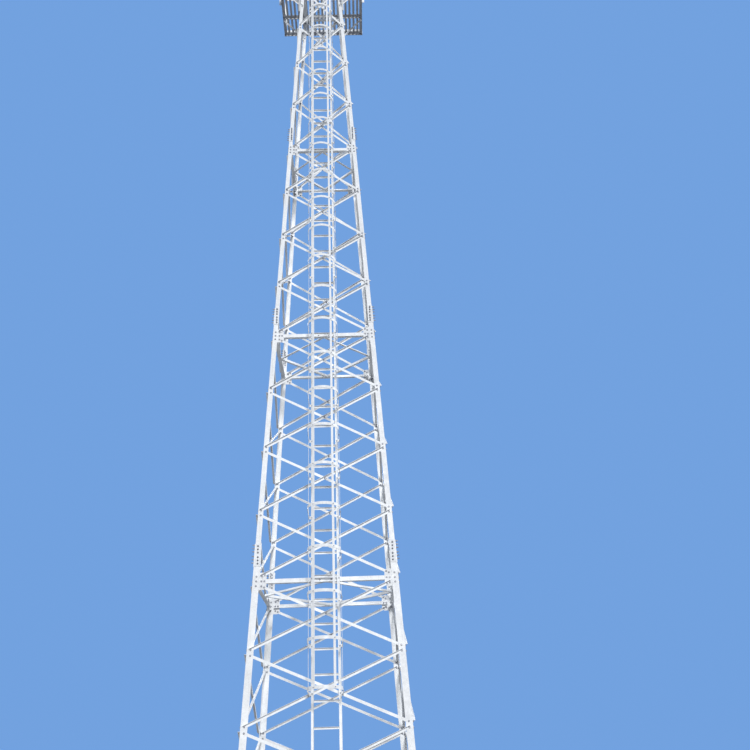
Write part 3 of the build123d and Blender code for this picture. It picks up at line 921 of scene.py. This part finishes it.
class TOWER_OT_platform_fasteners(bpy.types.Operator):
    """Slat screws, and bolts of the knees, the guard rail and its posts."""

    bl_idname = "tower.platform_fasteners"
    bl_label = "Platform fasteners"

    def execute(self, context):
        make_piece("slat_screws", self.slat_screws(), "bolt_steel")
        bolts = self.knee_bolts() + self.rail_bolts()
        make_piece("platform_bolts", bolts, "bolt_steel")
        return {"FINISHED"}

    def slat_screws(self):
        """Screws of each slat, on the deck's two edges and on the two bearers."""
        sizes, _, platform, fastener = settings()
        edge = platform.deck_half - platform.member / 2
        bearer = sizes.top_width / 2 - platform.bearer_inset
        count = int((platform.deck_half - platform.slat_width / 2) / platform.slat_pitch)
        slats = platform.slat_pitch * np.arange(-count, count + 1)
        slat, row = np.meshgrid(slats, np.array((-edge, -bearer, bearer, edge)), indexing="ij")
        tops = np.full(slat.size, platform.deck_top)
        seats = np.stack([slat.ravel(), row.ravel(), tops], axis=-1)
        under = seats - (0, 0, platform.slat_wall + platform.member_wall)
        upwards = np.tile((0.0, 0.0, 1.0), (len(seats), 1))
        return [
            copies(low_head_form(fastener.slat_head), seats, seat_frames(upwards)),
            copies(nut_form(fastener.slat_scale), under, seat_frames(-upwards)),
        ]

    def knee_bolts(self):
        """Bolts at the feet of the knees, those of the side faces lower."""
        sizes, _, platform, fastener = settings()
        scale = fastener.knee_scale
        forms = []
        for quarter in QUARTER_TURNS:
            start = sizes.frame_height - platform.knee_drop - platform.knee_step * (quarter % 2)
            across, up = HANDS * (half_width(start) - bolt_line(start)), start * slope_length()
            forms += side_bolts(across, up, sizes.brace_wall, -sizes.leg_wall, scale, (quarter,))
        return forms

    def rail_bolts(self):
        """Bolts of the posts: at the deck, toe board, mid rail and top rail.

        The corner posts are bolted at the front and back, and a middle post on
        each side.
        """
        sizes, _, platform, fastener = settings()
        top_rail = platform.rail_height - platform.guard_size / 2
        above_deck = np.array((platform.toe_bolt, platform.mid_rail, top_rail))
        at_deck = sizes.frame_height + platform.member / 2
        heights = np.append(at_deck, platform.deck_top + above_deck)
        corner, middle = platform.deck_half - platform.post_inset, platform.middle_post
        forms = []
        for quarter in QUARTER_TURNS:
            posts = (-corner, middle, corner) if quarter % 2 == 0 else (middle,)
            post, height = np.meshgrid(np.array(posts), heights, indexing="ij")
            edge = np.full(post.size, -platform.deck_half)
            heads = np.stack([post.ravel(), edge - platform.post_wall, height.ravel()], axis=-1)
            nuts = np.stack([post.ravel(), edge + platform.guard_wall, height.ravel()], axis=-1)
            forms += bolts_through(heads, nuts, (0.0, -1.0, 0.0), (quarter,), fastener.rail_scale)
        return forms


def seen_by_eye(tree):
    """One for what the camera sees, straight, in gloss or through glass, and else nought."""
    path = tree.nodes.new("ShaderNodeLightPath")
    ray = maths(tree, "MAXIMUM", path.outputs["Is Camera Ray"], path.outputs["Is Glossy Ray"])
    return maths(tree, "MAXIMUM", ray, path.outputs["Is Transmission Ray"])


class TOWER_OT_stage(bpy.types.Operator):
    """Plain pale floor, plain backdrop, soft lamps and the camera."""

    bl_idname = "tower.stage"
    bl_label = "Stage"

    def execute(self, context):
        colours = context.scene.finish_colours
        self.add_floor(colours.floor)
        self.add_world(context.scene, colours.backdrop)
        for lamp in LAMPS:
            self.add_lamp(*lamp)
        self.add_camera(context.scene)
        context.scene.view_settings.view_transform = "Standard"
        return {"FINISHED"}

    def add_floor(self, tone):
        """A square floor, far larger than the view, that throws little light back."""
        corners = ((-1, -1), (1, -1), (1, 1), (-1, 1))
        places = [(x * FLOOR_REACH, y * FLOOR_REACH, 0) for x, y in corners]
        mesh = bpy.data.meshes.new("floor")
        mesh.from_pydata(places, [], [(0, 1, 2, 3)])
        material = bpy.data.materials.new("floor")
        material.use_nodes = True
        tree = material.node_tree
        shader = tree.nodes["Principled BSDF"]
        thrown_back = (*(part * FLOOR_BOUNCE for part in tone), 1)
        shade = mixed(tree, seen_by_eye(tree), thrown_back, (*tone, 1))
        tree.links.new(shade, shader.inputs["Base Color"])
        shader.inputs["Roughness"].default_value = 0.9
        mesh.materials.append(material)
        floor = bpy.data.objects.new("floor", mesh)
        bpy.context.scene.collection.objects.link(floor)

    def add_world(self, scene, tone):
        """Faint cool light on the tower; the backdrop shows to the eye and in gloss."""
        world = bpy.data.worlds.new("backdrop")
        world.use_nodes = True
        scene.world = world
        tree = world.node_tree
        light = tree.nodes["Background"]
        light.inputs["Color"].default_value = (*SKY_LIGHT, 1)
        light.inputs["Strength"].default_value = SKY_STRENGTH
        seen = tree.nodes.new("ShaderNodeBackground")
        seen.inputs["Color"].default_value = (*tone, 1)
        mix = tree.nodes.new("ShaderNodeMixShader")
        tree.links.new(seen_by_eye(tree), mix.inputs[0])
        tree.links.new(light.outputs[0], mix.inputs[1])
        tree.links.new(seen.outputs[0], mix.inputs[2])
        tree.links.new(mix.outputs[0], tree.nodes["World Output"].inputs["Surface"])

    def add_lamp(self, name, around, above, strength, softness):
        """A distant lamp; its width in degrees softens its shadows."""
        lamp = bpy.data.lights.new(name, "SUN")
        lamp.energy = strength
        lamp.angle = math.radians(softness)
        holder = bpy.data.objects.new(name, lamp)
        holder.rotation_euler = (math.radians(90 - above), 0, math.radians(around))
        bpy.context.scene.collection.objects.link(holder)

    def add_camera(self, scene):
        """Camera at the height of a person's eyes, tilted up and a little rolled.

        The forward axis is turned by the yaw about Z and raised by the pitch,
        and the right and up axes are turned about it by the roll.
        """
        eye = (0.504, -13.715, 1.686)
        yaw, pitch, roll = (math.radians(angle) for angle in (-1.601, 25.089, -2.221))
        image_side, focal_pixels = 750, 835.6
        ahead = np.array((-math.sin(yaw), math.cos(yaw), 0))
        forward = ahead * math.cos(pitch) + np.array((0, 0, math.sin(pitch)))
        level = np.array((math.cos(yaw), math.sin(yaw), 0))
        upright = np.cross(level, forward)
        right = level * math.cos(roll) + upright * math.sin(roll)
        up = upright * math.cos(roll) - level * math.sin(roll)
        lens = bpy.data.cameras.new("camera")
        lens.sensor_width = 36
        lens.lens = lens.sensor_width * focal_pixels / image_side
        lens.clip_end = 2000
        camera = bpy.data.objects.new("camera", lens)
        place = np.eye(4)
        place[:3] = np.stack([right, up, -forward, eye], axis=-1)
        camera.matrix_world = [list(row) for row in place.T]
        bpy.context.scene.collection.objects.link(camera)
        scene.camera = camera


class TOWER_PT_panel(bpy.types.Panel):
    """Sidebar panel with the tower's operators."""

    bl_idname = "TOWER_PT_panel"
    bl_label = "Tower"
    bl_space_type = "VIEW_3D"
    bl_region_type = "UI"
    bl_category = "Tower"

    def draw(self, context):
        for operator in OPERATORS:
            self.layout.operator(operator.bl_idname)


GROUPS = {
    "tower_sizes": TowerSizes,
    "ladder_sizes": LadderSizes,
    "platform_sizes": PlatformSizes,
    "fastener_sizes": FastenerSizes,
    "finish_colours": FinishColours,
}
OPERATORS = (
    TOWER_OT_finishes,
    TOWER_OT_splice_bolts,
    TOWER_OT_node_bolts,
    TOWER_OT_gusset_bolts,
    TOWER_OT_ladder_fasteners,
    TOWER_OT_ladder_welds,
    TOWER_OT_anchors,
    TOWER_OT_platform_fasteners,
    TOWER_OT_stage,
)


def register():
    """Registers the groups of sizes, the operators and the panel."""
    for name, group in GROUPS.items():
        bpy.utils.register_class(group)
        setattr(bpy.types.Scene, name, PointerProperty(type=group))
    for operator in OPERATORS + (TOWER_PT_panel,):
        bpy.utils.register_class(operator)


def unregister():
    """Takes back what register() added."""
    for operator in reversed(OPERATORS + (TOWER_PT_panel,)):
        bpy.utils.unregister_class(operator)
    for name, group in GROUPS.items():
        delattr(bpy.types.Scene, name)
        bpy.utils.unregister_class(group)


def main():
    """Builds every piece in order."""
    register()
    bpy.ops.tower.finishes()
    bpy.ops.tower.splice_bolts()
    bpy.ops.tower.node_bolts()
    bpy.ops.tower.gusset_bolts()
    bpy.ops.tower.ladder_fasteners()
    bpy.ops.tower.ladder_welds()
    bpy.ops.tower.anchors()
    bpy.ops.tower.platform_fasteners()
    bpy.ops.tower.stage()


if __name__ == "__main__":
    main()
